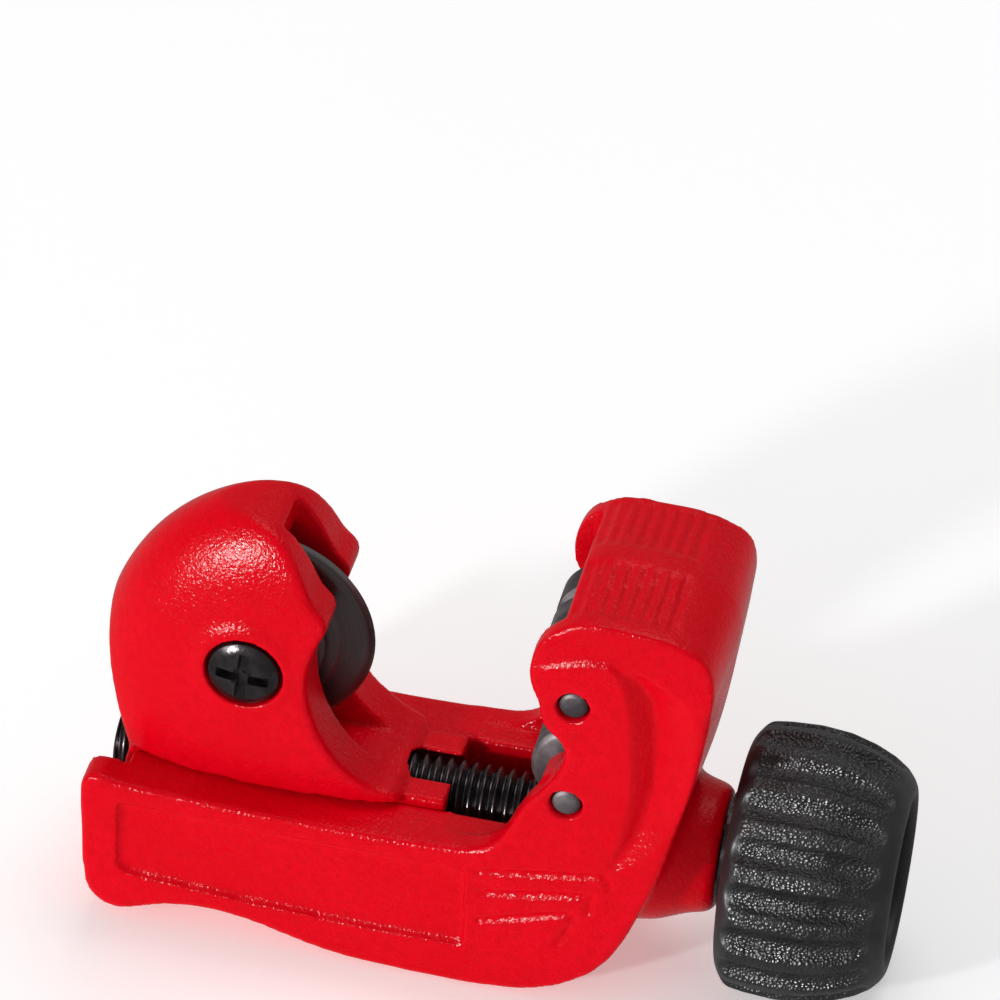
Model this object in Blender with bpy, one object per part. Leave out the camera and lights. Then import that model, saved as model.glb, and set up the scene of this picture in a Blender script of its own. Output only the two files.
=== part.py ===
"""Mini pipe cutter: a cast frame with two rollers, a cast slide with the cutter wheel, and a spindle.

The frame stands on its belly, with the knob's rim just above the floor. +X runs along the spindle to the knob, the
tube that is cut lies along Y, and +Z is up. The origin is under the middle of the tool's box.
Shapes are written in millimetres and scaled to metres where a mesh is made.
"""

import math

import bmesh
import bpy
from mathutils import Matrix, Vector

MM = 0.001
GAP = 0.3  # clearance between pieces that touch or run on each other
WELD = 0.005  # vertices closer than this are one after a Boolean

# Heights and places that drive the design
SPINDLE_Z = 16.4
PIPE_Z = 37.1
BODY_HALF = 14.0
WHEEL_X = -29.8
ROLLER_X = 9.9
ROLLER_RISE = 7.1

# Frame casting
FRAME_DRAFT = 0.2
TOP_DRAFT = 0.5
SIDE_DRAFT = 1.1
FRAME_EDGE = 1.5
TROUGH_HALF = 7.0
TROUGH_FLOOR_Z = 8.3
TROUGH_END_X = 14.5
TROUGH_TOP_Z = 22.1
TROUGH_MOUTH_X = 1.0
MOUTH_RELIEF_HALF = 9.6
MOUTH_RELIEF_X = -43.3
MOUTH_RELIEF_Z = 11.0
ROLLER_SLOT_HALF = 10.8
ROLLER_SLOT_START_X = -4.5
ROLLER_SLOT_FLOOR_Z = 20.3
ROLLER_SLOT_END_X = 16.3
ROLLER_SLOT_TOP_Z = 50.6
PAD_LEFT_X = 7.8
PIN_BOSS_RADIUS = 3.6
PIN_BOSS_START = 7.8
PLATEAU_GROOVE_DEPTH = 1.1
PANEL_DEPTH = 0.5
NECK_START_X = 15.1
NECK_END_X = 27.0
NECK_ROOT_RADIUS = 10.2
NECK_END_RADIUS = 7.7

# Rollers and their pins
ROLLER_RADIUS = 5.6
ROLLER_HALF = 7.4
ROLLER_BORE_RADIUS = 1.95
ROLLER_GROOVE_DEPTH = 1.0
PIN_RADIUS = 1.65
PIN_HALF = 13.7

# Slide casting
SLIDE_HALF = 6.7
SLIDE_BOTTOM_Z = 8.7
SLIDE_LEFT_X = -44.6
SLIDE_TONGUE_X = -5.7
HOOD_HALF = 9.2
HOOD_EDGE_REACH = 9.0
BOSS_RADIUS = 6.6
BOSS_HALF = 10.0
WHEEL_SLOT_HALF = 3.0
WHEEL_SLOT_RADIUS = 14.3
SLOT_MOUTH_X = -27.2
SCREW_RECESS_RADIUS = 4.4
SCREW_RECESS_DEPTH = 2.9
SCREW_HOLE_RADIUS = 2.8
THREAD_BORE_RADIUS = 5.2

# Cutter wheel and its axle
WHEEL_RADIUS = 13.5
WHEEL_HUB_RADIUS = 9.7
WHEEL_HUB_HALF = 2.3
WHEEL_FLANK_HALF = 1.2
WHEEL_BEVEL_START = 11.9
WHEEL_BORE_RADIUS = 4.3
BUSH_RADIUS = 4.0
BUSH_BORE_RADIUS = 2.8
BUSH_HALF = 2.6
SCREW_RADIUS = 2.5
SCREW_HEAD_RADIUS = 4.0
SCREW_HEAD_HEIGHT = 2.1
LOCK_WASHER_THICK = 0.7

# Spindle, knob and what holds them
SPINDLE_LEFT_X = -46.7
THREAD_RADIUS = 4.9
THREAD_END_X = 8.1
JOURNAL_RADIUS = 4.0
JOURNAL_END_X = 28.0
SEAT_RADIUS = 3.2
SEAT_END_X = 35.6
SEAT_FLAT = 2.5
NECK_BORE_RADIUS = 4.3
RING_GROOVE_X = 12.5
RING_GROOVE_RADIUS = 3.2
RING_THICK = 0.8
KNOB_LEFT_X = 28.3
KNOB_LENGTH = 19.9
KNOB_LOBES = 18
KNOB_LOBE_DEPTH = 0.55
KNOB_RECESS_RADIUS = 9.9
KNOB_RECESS_DEPTH = 12.3
KNOB_SCREW_RADIUS = 1.9
KNOB_SCREW_LENGTH = 8.0

# Outline of the frame in X and Z, from the left end of the ledge round the jaw, the head and the belly
FRAME_OUTLINE = [
    (-46.6, 21.5), (-43.5, 21.0), (-37.5, 20.7), (-30.0, 20.4), (-21.5, 20.2), (-11.5, 20.1),
    (-4.5, 20.4), (0.5, 21.2), (2.5, 23.2), (3.8, 26.0), (5.2, 28.9), (7.0, 31.4),
    (8.6, 34.2), (9.3, 36.6), (8.7, 38.8), (7.1, 40.2), (6.2, 41.8), (5.8, 44.0),
    (4.9, 46.0), (4.5, 48.0), (4.9, 50.6), (6.0, 52.8), (7.8, 54.3), (9.9, 55.3),
    (14.5, 55.5), (19.1, 55.2), (22.4, 54.3), (24.7, 52.8), (25.7, 50.2), (25.6, 45.7),
    (25.0, 39.7), (24.1, 34.0), (23.0, 28.9), (21.9, 23.5), (20.8, 19.1), (19.5, 15.3),
    (17.7, 10.5), (15.5, 6.6), (12.1, 3.5), (7.5, 1.2), (2.5, 0.3), (-4.5, 0.2),
    (-11.5, 0.4), (-17.5, 1.2), (-22.5, 2.4), (-26.5, 3.5), (-30.5, 4.1), (-34.5, 4.1),
    (-38.0, 3.5), (-41.0, 2.4), (-43.3, 1.8), (-45.5, 2.5), (-47.0, 4.2), (-47.6, 7.1),
    (-47.9, 12.7), (-48.1, 18.2), (-47.9, 20.3),
]

# Crescent between the roller boss and the outer rim of the head
PLATEAU_GROOVE = [
    (13.1, 51.9), (14.9, 49.5), (16.3, 45.5), (16.9, 41.1), (17.3, 34.7), (17.0, 28.7),
    (15.7, 22.3), (18.5, 22.3), (19.6, 27.7), (20.0, 34.7), (19.8, 41.1), (19.3, 46.1),
    (17.9, 50.1), (15.7, 52.1),
]

# Recessed panel on both faces of the bar
PANEL_OUTLINE = [
    (-43.4, 18.1), (-43.4, 9.0), (-42.3, 7.7), (-27.5, 6.7), (-13.5, 6.2), (-1.1, 6.2),
    (-1.3, 17.4), (-11.5, 17.6), (-27.5, 17.8),
]

# Outline of the hood: X, Z and the half width of the casting at that point of the rim
HOOD_OUTLINE = [
    (-43.7, 17.9, 8.4), (-44.3, 21.2, 7.4), (-45.3, 24.7, 5.6), (-46.3, 28.7, 3.8),
    (-47.3, 33.7, 2.6), (-47.7, 38.7, 2.0), (-47.0, 43.7, 2.0), (-45.0, 48.0, 2.0),
    (-41.9, 51.2, 2.2), (-38.0, 53.5, 2.6), (-33.5, 54.8, 3.2), (-29.9, 54.9, 4.0),
    (-27.1, 53.9, 5.0), (-24.8, 51.0, 6.0), (-22.9, 47.5, 6.9), (-20.9, 44.9, 7.4),
    (-21.6, 42.1, 7.3), (-22.3, 38.7, 7.3), (-22.3, 35.3, 7.4), (-21.5, 31.7, 7.6),
    (-19.7, 27.9, 7.9), (-17.1, 24.7, 8.0), (-13.9, 22.6, 8.0), (-10.8, 21.2, 7.6),
    (-11.6, 17.9, 7.1),
]

# Line just above the frame's ledge, on which the shoulders of the hood run
SHOULDER_LINE = [
    (-60.0, 22.0), (-46.6, 22.0), (-43.5, 21.5), (-37.5, 21.1), (-30.0, 20.8), (-21.5, 20.8),
    (0.0, 20.8), (0.0, 0.0), (-60.0, 0.0),
]

# Radius of the knob along its length, as shares of the length and millimetres
KNOB_PROFILE = [
    (0.00, 13.4), (0.02, 14.8), (0.07, 15.7), (0.20, 16.2), (0.38, 16.4), (0.56, 16.1),
    (0.72, 15.3), (0.84, 14.3), (0.93, 13.1), (0.985, 11.8), (1.00, 10.9),
]


# Mesh helpers


def new_object(name, bm):
    """Scale a finished bmesh to metres, point its faces outwards and link it as an object."""
    bmesh.ops.recalc_face_normals(bm, faces=bm.faces)
    bm.transform(Matrix.Scale(MM, 4))
    mesh = bpy.data.meshes.new(name)
    bm.to_mesh(mesh)
    bm.free()
    obj = bpy.data.objects.new(name, mesh)
    bpy.context.collection.objects.link(obj)
    return obj


def bridge(bm, rings):
    """Join rings of equal length with quads."""
    for lower, upper in zip(rings, rings[1:]):
        count = len(lower)
        for i in range(count):
            j = (i + 1) % count
            bm.faces.new((lower[i], lower[j], upper[j], upper[i]))


def prism(name, outline, y_front, y_back):
    """An outline in X and Z, extruded along Y."""
    bm = bmesh.new()
    rings = [[bm.verts.new((x, y, z)) for x, z in outline] for y in (y_front, y_back)]
    bridge(bm, rings)
    bm.faces.new(rings[0])
    bm.faces.new(rings[1])
    return new_object(name, bm)


def block(name, x_range, y_range, z_range):
    """A plain box between three pairs of limits."""
    (x0, x1), (z0, z1) = x_range, z_range
    return prism(name, [(x0, z0), (x1, z0), (x1, z1), (x0, z1)], *y_range)


def offset_outline(outline, distances):
    """Move each point of a clockwise outline outwards along the mean of its two edges' normals."""
    moved = []
    count = len(outline)
    for i, here in enumerate(outline):
        before = Vector(outline[i - 1])
        after = Vector(outline[(i + 1) % count])
        along = ((Vector(here) - before).normalized() + (after - Vector(here)).normalized()).normalized()
        outwards = Vector((-along.y, along.x))
        moved.append(Vector(here) + outwards * distances[i])
    return moved


def frame_draft(x, z):
    """How far the frame swells towards its parting line: most on the knob's side of the head."""
    if z < 10.0:
        return FRAME_DRAFT
    side = min(1.0, max(0.0, (x - 20.0) / 4.0))
    return TOP_DRAFT + side * (SIDE_DRAFT - TOP_DRAFT)


def no_draft(x, z):
    return 0.0


def cast_plate(name, outline, half, edge, draft):
    """A plate with rounded rims and a parting line in its middle, where it is widest."""
    inset = [(half, -edge), (half - 0.3 * edge, -0.3 * edge), (half - edge, 0.0)]
    middle = [draft(x, z) for x, z in outline]
    levels = [(-y, [step] * len(outline)) for y, step in inset]
    levels += [(0.0, middle)] + [(-y, steps) for y, steps in levels[::-1]]
    bm = bmesh.new()
    rings = [
        [bm.verts.new((p.x, y, p.y)) for p in offset_outline(outline, steps)] for y, steps in levels
    ]
    bridge(bm, rings)
    bmesh.ops.triangulate(bm, faces=bm.faces[:])
    bm.faces.new(rings[0])
    bm.faces.new(rings[-1])
    return new_object(name, bm)


def domed_plate(name, outline, centre, half, reach, steps=4):
    """A plate that swells from the half width given at each rim point to its full half width."""
    middle = Vector(centre)
    rings = []
    bm = bmesh.new()
    for side in (-1, 1):
        side_rings = []
        for step in range(steps + 1):
            share = 1 - math.cos(math.pi / 2 * step / steps)
            ring = []
            for x, z, rim_half in outline:
                inwards = middle - Vector((x, z))
                inset = min(reach, 0.5 * inwards.length) * share
                point = Vector((x, z)) + inwards.normalized() * inset
                swell = math.sqrt(1 - (1 - share) ** 2)
                ring.append(bm.verts.new((point.x, side * (rim_half + (half - rim_half) * swell), point.y)))
            side_rings.append(ring)
        rings += side_rings[::-1] if side < 0 else side_rings
    bridge(bm, rings)
    bmesh.ops.triangulate(bm, faces=bm.faces[:])
    bm.faces.new(rings[0])
    bm.faces.new(rings[-1])
    return new_object(name, bm)


def turned(name, profile, centre, axis, segments=32, ripple=None):
    """Turn a profile of (along, radius) round an axis through centre; radius 0 closes an end.

    A profile that never reaches the axis is a closed loop, so the piece keeps its bore.
    """
    bm = bmesh.new()
    across = {"X": (Vector((0, 1, 0)), Vector((0, 0, 1))), "Y": (Vector((1, 0, 0)), Vector((0, 0, 1)))}
    first, second = across[axis]
    along_axis = Vector((1, 0, 0)) if axis == "X" else Vector((0, 1, 0))
    rings = []
    for along, radius in profile:
        base = Vector(centre) + along_axis * along
        if radius == 0:
            rings.append([bm.verts.new(base)])
            continue
        ring = []
        for i in range(segments):
            angle = 2 * math.pi * i / segments
            r = radius + (ripple(along, radius, angle) if ripple else 0)
            ring.append(bm.verts.new(base + first * r * math.cos(angle) + second * r * math.sin(angle)))
        rings.append(ring)
    pairs = list(zip(rings, rings[1:]))
    if len(rings[0]) > 1:
        pairs.append((rings[-1], rings[0]))
    for lower, upper in pairs:
        for i in range(segments):
            j = (i + 1) % segments
            corners = [lower[i % len(lower)], lower[j % len(lower)], upper[j % len(upper)], upper[i % len(upper)]]
            bm.faces.new(list(dict.fromkeys(corners)))
    return new_object(name, bm)


def rod(name, radius, x_range, centre_yz=(0.0, SPINDLE_Z), segments=32):
    """A plain cylinder along X."""
    x0, x1 = x_range
    y, z = centre_yz
    return turned(name, [(x0, 0), (x0, radius), (x1, radius), (x1, 0)], (0, y, z), "X", segments)


def cross_rod(name, radius, y_range, centre_xz, segments=32):
    """A plain cylinder along Y."""
    y0, y1 = y_range
    x, z = centre_xz
    return turned(name, [(y0, 0), (y0, radius), (y1, radius), (y1, 0)], (x, 0, z), "Y", segments)


def combine(body, operation, tool):
    """Apply one exact Boolean and throw the tool away."""
    modifier = body.modifiers.new("shape", "BOOLEAN")
    modifier.operation = operation
    modifier.solver = "EXACT"
    modifier.object = tool
    evaluated = body.evaluated_get(bpy.context.evaluated_depsgraph_get())
    shaped = bpy.data.meshes.new_from_object(evaluated)
    body.modifiers.clear()
    bm = bmesh.new()
    bm.from_mesh(shaped)
    bmesh.ops.remove_doubles(bm, verts=bm.verts, dist=WELD * MM)
    bmesh.ops.dissolve_degenerate(bm, edges=bm.edges, dist=WELD * MM)
    bm.to_mesh(shaped)
    bm.free()
    body.data = shaped
    bpy.data.objects.remove(tool, do_unlink=True)


def cut(body, *tools):
    for tool in tools:
        combine(body, "DIFFERENCE", tool)


def join(body, *tools):
    for tool in tools:
        combine(body, "UNION", tool)


# Materials


def paint(name, colour, roughness, metallic=0.0):
    material = bpy.data.materials.new(name)
    material.use_nodes = True
    shader = material.node_tree.nodes["Principled BSDF"]
    shader.inputs["Base Color"].default_value = (*colour, 1.0)
    shader.inputs["Roughness"].default_value = roughness
    shader.inputs["Metallic"].default_value = metallic
    return material


RED = ((0.76, 0.005, 0.012), 0.35)
BLACK_OXIDE = ((0.06, 0.055, 0.06), 0.35, 0.8)
DARK_STEEL = ((0.09, 0.08, 0.08), 0.4, 0.9)
BLACK_PLASTIC = ((0.028, 0.027, 0.03), 0.6)
PLAIN_STEEL = ((0.5, 0.5, 0.5), 0.3, 1.0)


def body_origin(name, x, z):
    """An empty on a body's joint axis."""
    empty = bpy.data.objects.new(name, None)
    empty.location = (x * MM, 0, z * MM)
    bpy.context.collection.objects.link(empty)
    return empty


def finish(obj, name, body, look):
    """Name a piece, hang it on its body's empty with its own origin there, and give it its material."""
    obj.name = name
    obj.data.name = name
    obj.data.transform(Matrix.Translation(-body.location))
    obj.parent = body
    obj.data.shade_smooth()
    obj.data.set_sharp_from_angle(angle=math.radians(30))
    obj.data.materials.clear()
    obj.data.materials.append(paint(name, *look))


# Frame, rollers and pins


def roller_places():
    return {"upper": PIPE_Z + ROLLER_RISE, "lower": PIPE_Z - ROLLER_RISE}


def make_frame(body):
    frame = cast_plate("frame", FRAME_OUTLINE, BODY_HALF, FRAME_EDGE, frame_draft)
    neck = turned(
        "neck",
        [
            (NECK_START_X, 0),
            (NECK_START_X, NECK_ROOT_RADIUS - 1.2),
            (NECK_START_X + 2.0, NECK_ROOT_RADIUS),
            (NECK_START_X + 5.5, NECK_ROOT_RADIUS - 0.6),
            (NECK_END_X - 0.6, NECK_END_RADIUS),
            (NECK_END_X, NECK_END_RADIUS - 0.6),
            (NECK_END_X, 0),
        ],
        (0, 0, SPINDLE_Z),
        "X",
        40,
    )
    join(frame, neck)
    past = 60.0
    trough = [
        (-past, TROUGH_FLOOR_Z),
        (TROUGH_END_X, TROUGH_FLOOR_Z),
        (TROUGH_END_X, TROUGH_TOP_Z),
        (TROUGH_MOUTH_X, TROUGH_TOP_Z),
        (TROUGH_MOUTH_X, past),
        (-past, past),
    ]
    roller_slot = [
        (ROLLER_SLOT_START_X, ROLLER_SLOT_FLOOR_Z),
        (ROLLER_SLOT_END_X, ROLLER_SLOT_FLOOR_Z),
        (ROLLER_SLOT_END_X, ROLLER_SLOT_TOP_Z),
        (PAD_LEFT_X, ROLLER_SLOT_TOP_Z),
        (PAD_LEFT_X, past + 1),
        (ROLLER_SLOT_START_X, past + 1),
    ]
    cut(
        frame,
        prism("trough", trough, -TROUGH_HALF, TROUGH_HALF),
        block(
            "mouth_relief",
            (-past - 1, MOUTH_RELIEF_X),
            (-MOUTH_RELIEF_HALF, MOUTH_RELIEF_HALF),
            (MOUTH_RELIEF_Z, past + 2),
        ),
        prism("roller_slot", roller_slot, -ROLLER_SLOT_HALF, ROLLER_SLOT_HALF),
        rod("neck_bore", NECK_BORE_RADIUS, (TROUGH_END_X - 2, past)),
    )
    for height in roller_places().values():
        for side in (-1, 1):
            y_range = sorted((side * PIN_BOSS_START, side * (ROLLER_SLOT_HALF + 1.0)))
            join(frame, cross_rod("pin_boss", PIN_BOSS_RADIUS, y_range, (ROLLER_X, height)))
        cut(frame, cross_rod("pin_hole", PIN_RADIUS + GAP, (-past, past), (ROLLER_X, height)))
    for side in (-1, 1):
        for outline, depth in ((PLATEAU_GROOVE, PLATEAU_GROOVE_DEPTH), (PANEL_OUTLINE, PANEL_DEPTH)):
            inner = side * (BODY_HALF - depth)
            cut(frame, prism("relief", outline, min(inner, side * past), max(inner, side * past)))
    finish(frame, "frame", body, RED)


def make_roller(name, height, body):
    half, radius = ROLLER_HALF, ROLLER_RADIUS
    groove = radius - ROLLER_GROOVE_DEPTH
    profile = [
        (-half, ROLLER_BORE_RADIUS),
        (-half, radius - 0.5),
        (-half + 0.5, radius),
        (0.6, radius),
        (1.2, groove),
        (2.6, groove),
        (3.2, radius),
        (half - 0.5, radius),
        (half, radius - 0.5),
        (half, ROLLER_BORE_RADIUS),
    ]
    roller = turned(name, profile, (ROLLER_X, 0, height), "Y")
    finish(roller, name, body, BLACK_OXIDE)


def make_roller_pin(name, height, body):
    half, radius = PIN_HALF, PIN_RADIUS
    profile = [(-half, 0), (-half, radius - 0.3), (-half + 0.3, radius), (half - 0.3, radius)]
    profile += [(half, radius - 0.3), (half, 0)]
    pin = turned(name, profile, (ROLLER_X, 0, height), "Y", 24)
    finish(pin, name, body, BLACK_OXIDE)


# Slide, cutter wheel and axle


def slide_block_outline():
    """Side view of the part of the slide that runs in the trough and carries the thread."""
    corner = 1.5
    top = 21.1
    return [
        (SLIDE_LEFT_X, SLIDE_BOTTOM_Z + corner),
        (SLIDE_LEFT_X, 18.7),
        (-43.0, 24.7),
        (-21.5, 24.7),
        (-18.1, 23.1),
        (-15.1, 21.9),
        (-11.5, top),
        (SLIDE_TONGUE_X - corner, top - 0.2),
        (SLIDE_TONGUE_X, top - corner),
        (SLIDE_TONGUE_X, SLIDE_BOTTOM_Z + corner),
        (SLIDE_TONGUE_X - corner, SLIDE_BOTTOM_Z),
        (SLIDE_LEFT_X + corner, SLIDE_BOTTOM_Z),
    ]


def make_slide(body):
    axle = (WHEEL_X, PIPE_Z)
    slide = domed_plate("slide", HOOD_OUTLINE, axle, HOOD_HALF, HOOD_EDGE_REACH)
    for side in (-1, 1):
        y_range = sorted((side * (SLIDE_HALF - 0.4), side * 30.0))
        cut(slide, prism("shoulder", SHOULDER_LINE, *y_range))
    join(
        slide,
        cast_plate("slide_block", slide_block_outline(), SLIDE_HALF, 0.6, no_draft),
        turned(
            "boss",
            [
                (-BOSS_HALF, 0),
                (-BOSS_HALF, BOSS_RADIUS - 0.8),
                (-BOSS_HALF + 0.8, BOSS_RADIUS),
                (BOSS_HALF - 0.8, BOSS_RADIUS),
                (BOSS_HALF, BOSS_RADIUS - 0.8),
                (BOSS_HALF, 0),
            ],
            (WHEEL_X, 0, PIPE_Z),
            "Y",
            36,
        ),
    )
    slot_y = (-WHEEL_SLOT_HALF, WHEEL_SLOT_HALF)
    slot_floor = PIPE_Z - WHEEL_SLOT_RADIUS
    cut(
        slide,
        cross_rod("wheel_slot", WHEEL_SLOT_RADIUS, slot_y, axle, 48),
        block("slot_mouth", (SLOT_MOUTH_X, 0.0), slot_y, (slot_floor, 70.0)),
        rod("thread_bore", THREAD_BORE_RADIUS, (-60.0, 10.0)),
        cross_rod("screw_hole", SCREW_HOLE_RADIUS, (-20.0, 20.0), axle, 28),
        cross_rod("screw_recess", SCREW_RECESS_RADIUS, (-20.0, SCREW_RECESS_DEPTH - BOSS_HALF), axle, 36),
    )
    finish(slide, "slide", body, RED)


def make_cutter_wheel(body):
    hub, flank = WHEEL_HUB_HALF, WHEEL_FLANK_HALF
    side = [
        (hub, WHEEL_BORE_RADIUS),
        (hub, WHEEL_HUB_RADIUS - 0.4),
        (hub - 0.4, WHEEL_HUB_RADIUS),
        (flank, WHEEL_HUB_RADIUS + 0.1),
        (flank - 0.2, WHEEL_BEVEL_START),
        (0.05, WHEEL_RADIUS),
    ]
    profile = [(-along, radius) for along, radius in side] + side[::-1]
    wheel = turned("cutter_wheel", profile, (WHEEL_X, 0, PIPE_Z), "Y", 56)
    finish(wheel, "cutter_wheel", body, DARK_STEEL)


def make_wheel_axle(body):
    centre = (WHEEL_X, 0, PIPE_Z)
    bush_profile = [
        (-BUSH_HALF, BUSH_BORE_RADIUS),
        (-BUSH_HALF, BUSH_RADIUS),
        (BUSH_HALF, BUSH_RADIUS),
        (BUSH_HALF, BUSH_BORE_RADIUS),
    ]
    finish(turned("bush", bush_profile, centre, "Y", 28), "wheel_bush", body, PLAIN_STEEL)

    recess_floor = SCREW_RECESS_DEPTH - BOSS_HALF
    washer_front = recess_floor - GAP - LOCK_WASHER_THICK
    washer_profile = [
        (washer_front, SCREW_HOLE_RADIUS),
        (washer_front, SCREW_HEAD_RADIUS - 0.1),
        (recess_floor - GAP, SCREW_HEAD_RADIUS - 0.1),
        (recess_floor - GAP, SCREW_HOLE_RADIUS),
    ]
    washer = turned("washer", washer_profile, centre, "Y", 28)
    finish(washer, "wheel_screw_washer", body, BLACK_OXIDE)

    head_back = washer_front - GAP
    head_front = head_back - SCREW_HEAD_HEIGHT
    screw_profile = [
        (head_front, 0),
        (head_front + 0.1, 2.0),
        (head_front + 0.6, 3.3),
        (head_front + 1.3, SCREW_HEAD_RADIUS),
        (head_back, SCREW_HEAD_RADIUS),
        (head_back, SCREW_RADIUS),
        (BOSS_HALF - 0.9, SCREW_RADIUS),
        (BOSS_HALF - 0.3, SCREW_RADIUS - 0.6),
        (BOSS_HALF - 0.3, 0),
    ]
    screw = turned("screw", screw_profile, centre, "Y", 32)
    blade, reach = 0.45, 2.7
    for half_x, half_z in ((reach, blade), (blade, reach)):
        x_range = (WHEEL_X - half_x, WHEEL_X + half_x)
        z_range = (PIPE_Z - half_z, PIPE_Z + half_z)
        cut(screw, block("cross_slot", x_range, (-20.0, head_front + 1.5), z_range))
    finish(screw, "wheel_screw", body, BLACK_OXIDE)


# Spindle, knob and fixings


def make_spindle(body):
    profile = [
        (SPINDLE_LEFT_X, 0),
        (SPINDLE_LEFT_X, THREAD_RADIUS - 1.0),
        (SPINDLE_LEFT_X + 1.0, THREAD_RADIUS),
        (THREAD_END_X - 0.9, THREAD_RADIUS),
        (THREAD_END_X, JOURNAL_RADIUS),
        (RING_GROOVE_X - 0.6, JOURNAL_RADIUS),
        (RING_GROOVE_X - 0.6, RING_GROOVE_RADIUS),
        (RING_GROOVE_X + 0.6, RING_GROOVE_RADIUS),
        (RING_GROOVE_X + 0.6, JOURNAL_RADIUS),
        (JOURNAL_END_X, JOURNAL_RADIUS),
        (JOURNAL_END_X, SEAT_RADIUS),
        (SEAT_END_X, SEAT_RADIUS),
        (SEAT_END_X, KNOB_SCREW_RADIUS + GAP),
        (SEAT_END_X - KNOB_SCREW_LENGTH - 1.0, KNOB_SCREW_RADIUS + GAP),
        (SEAT_END_X - KNOB_SCREW_LENGTH - 2.0, 0),
    ]
    spindle = turned("spindle", profile, (0, 0, SPINDLE_Z), "X", 36)
    for side in (-1, 1):
        flat = (side * SEAT_FLAT, side * 20.0)
        z_range = (SPINDLE_Z + min(flat), SPINDLE_Z + max(flat))
        cut(spindle, block("flat", (JOURNAL_END_X + 0.1, 60.0), (-20.0, 20.0), z_range))
    finish(spindle, "spindle", body, BLACK_OXIDE)


def knob_radius_change(along, radius, angle):
    """Shallow flutes that fade out towards both rims of the knob."""
    share = (along - KNOB_LEFT_X) / KNOB_LENGTH
    if radius < KNOB_RECESS_RADIUS + 0.8 or not 0.02 < share < 0.97:
        return 0.0
    fade = min(1.0, 5 * share, 4 * (1.0 - share))
    return -KNOB_LOBE_DEPTH * fade * (1 - math.cos(KNOB_LOBES * angle))


def make_knob(body):
    right = KNOB_LEFT_X + KNOB_LENGTH
    floor = right - KNOB_RECESS_DEPTH
    outside = [(KNOB_LEFT_X + share * KNOB_LENGTH, radius) for share, radius in KNOB_PROFILE]
    profile = [(KNOB_LEFT_X, 0)] + outside
    profile += [
        (right - 0.7, KNOB_RECESS_RADIUS),
        (floor + 0.8, KNOB_RECESS_RADIUS - 0.6),
        (floor, KNOB_RECESS_RADIUS - 1.4),
        (floor, 0),
    ]
    knob = turned("knob", profile, (0, 0, SPINDLE_Z), "X", 4 * KNOB_LOBES, knob_radius_change)
    bore = rod("bore", SEAT_RADIUS + GAP, (KNOB_LEFT_X - 5, floor + 5))
    for side in (-1, 1):
        flat = (side * (SEAT_FLAT + GAP), side * 20.0)
        z_range = (SPINDLE_Z + min(flat), SPINDLE_Z + max(flat))
        cut(bore, block("flat", (0.0, 60.0), (-20.0, 20.0), z_range))
    cut(knob, bore)
    finish(knob, "knob", body, BLACK_PLASTIC)


def ring(name, x_range, inner, outer, body, look):
    x0, x1 = x_range
    profile = [(x0, inner), (x0, outer), (x1, outer), (x1, inner)]
    finish(turned(name, profile, (0, 0, SPINDLE_Z), "X", 28), name, body, look)


def make_spindle_fixings(body):
    ring(
        "outer_thrust_washer",
        (NECK_END_X + GAP, KNOB_LEFT_X - GAP),
        JOURNAL_RADIUS + GAP,
        7.0,
        body,
        PLAIN_STEEL,
    )
    half = RING_THICK / 2
    ring(
        "retaining_ring",
        (RING_GROOVE_X - half, RING_GROOVE_X + half),
        RING_GROOVE_RADIUS + GAP,
        6.2,
        body,
        BLACK_OXIDE,
    )
    ring(
        "inner_thrust_washer",
        (RING_GROOVE_X + half + GAP, TROUGH_END_X - GAP),
        JOURNAL_RADIUS + GAP,
        6.8,
        body,
        PLAIN_STEEL,
    )
    floor = KNOB_LEFT_X + KNOB_LENGTH - KNOB_RECESS_DEPTH
    washer_back = floor + GAP
    washer_front = washer_back + 0.8
    ring("knob_washer", (washer_back, washer_front), KNOB_SCREW_RADIUS + GAP, 6.0, body, PLAIN_STEEL)

    head_back = washer_front + GAP
    head_front = head_back + 2.4
    tip = SEAT_END_X - KNOB_SCREW_LENGTH
    profile = [
        (tip, 0),
        (tip, KNOB_SCREW_RADIUS - 0.5),
        (tip + 0.5, KNOB_SCREW_RADIUS),
        (head_back, KNOB_SCREW_RADIUS),
        (head_back, 3.6),
        (head_front - 0.9, 3.6),
        (head_front - 0.2, 2.6),
        (head_front, 0),
    ]
    screw = turned("screw", profile, (0, 0, SPINDLE_Z), "X", 28)
    blade, reach = 0.4, 2.0
    for half_y, half_z in ((reach, blade), (blade, reach)):
        z_range = (SPINDLE_Z - half_z, SPINDLE_Z + half_z)
        cut(screw, block("cross_slot", (head_front - 1.4, 60.0), (-half_y, half_y), z_range))
    finish(screw, "knob_screw", body, BLACK_OXIDE)


def main():
    for obj in list(bpy.data.objects):
        bpy.data.objects.remove(obj, do_unlink=True)

    frame_body = body_origin("frame_origin", 0, 0)
    make_frame(frame_body)
    for which, height in roller_places().items():
        make_roller_pin(f"roller_pin_{which}", height, frame_body)
        make_roller(f"{which}_roller", height, body_origin(f"{which}_roller_origin", ROLLER_X, height))

    jaw_body = body_origin("slide_origin", WHEEL_X, PIPE_Z)
    make_slide(jaw_body)
    make_wheel_axle(jaw_body)
    make_cutter_wheel(body_origin("wheel_origin", WHEEL_X, PIPE_Z))

    spindle_body = body_origin("spindle_origin", 0, SPINDLE_Z)
    make_spindle(spindle_body)
    make_knob(spindle_body)
    make_spindle_fixings(spindle_body)


main()
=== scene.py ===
"""Looks of a small pipe cutter: painted castings, threaded feed screw, fluted grip and cutter wheel.

Lengths are written in millimetres and scaled by MM where a mesh is made. +X runs along the feed
screw to the grip, the pipe lies along Y, and +Z is up.
"""

import math

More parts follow.
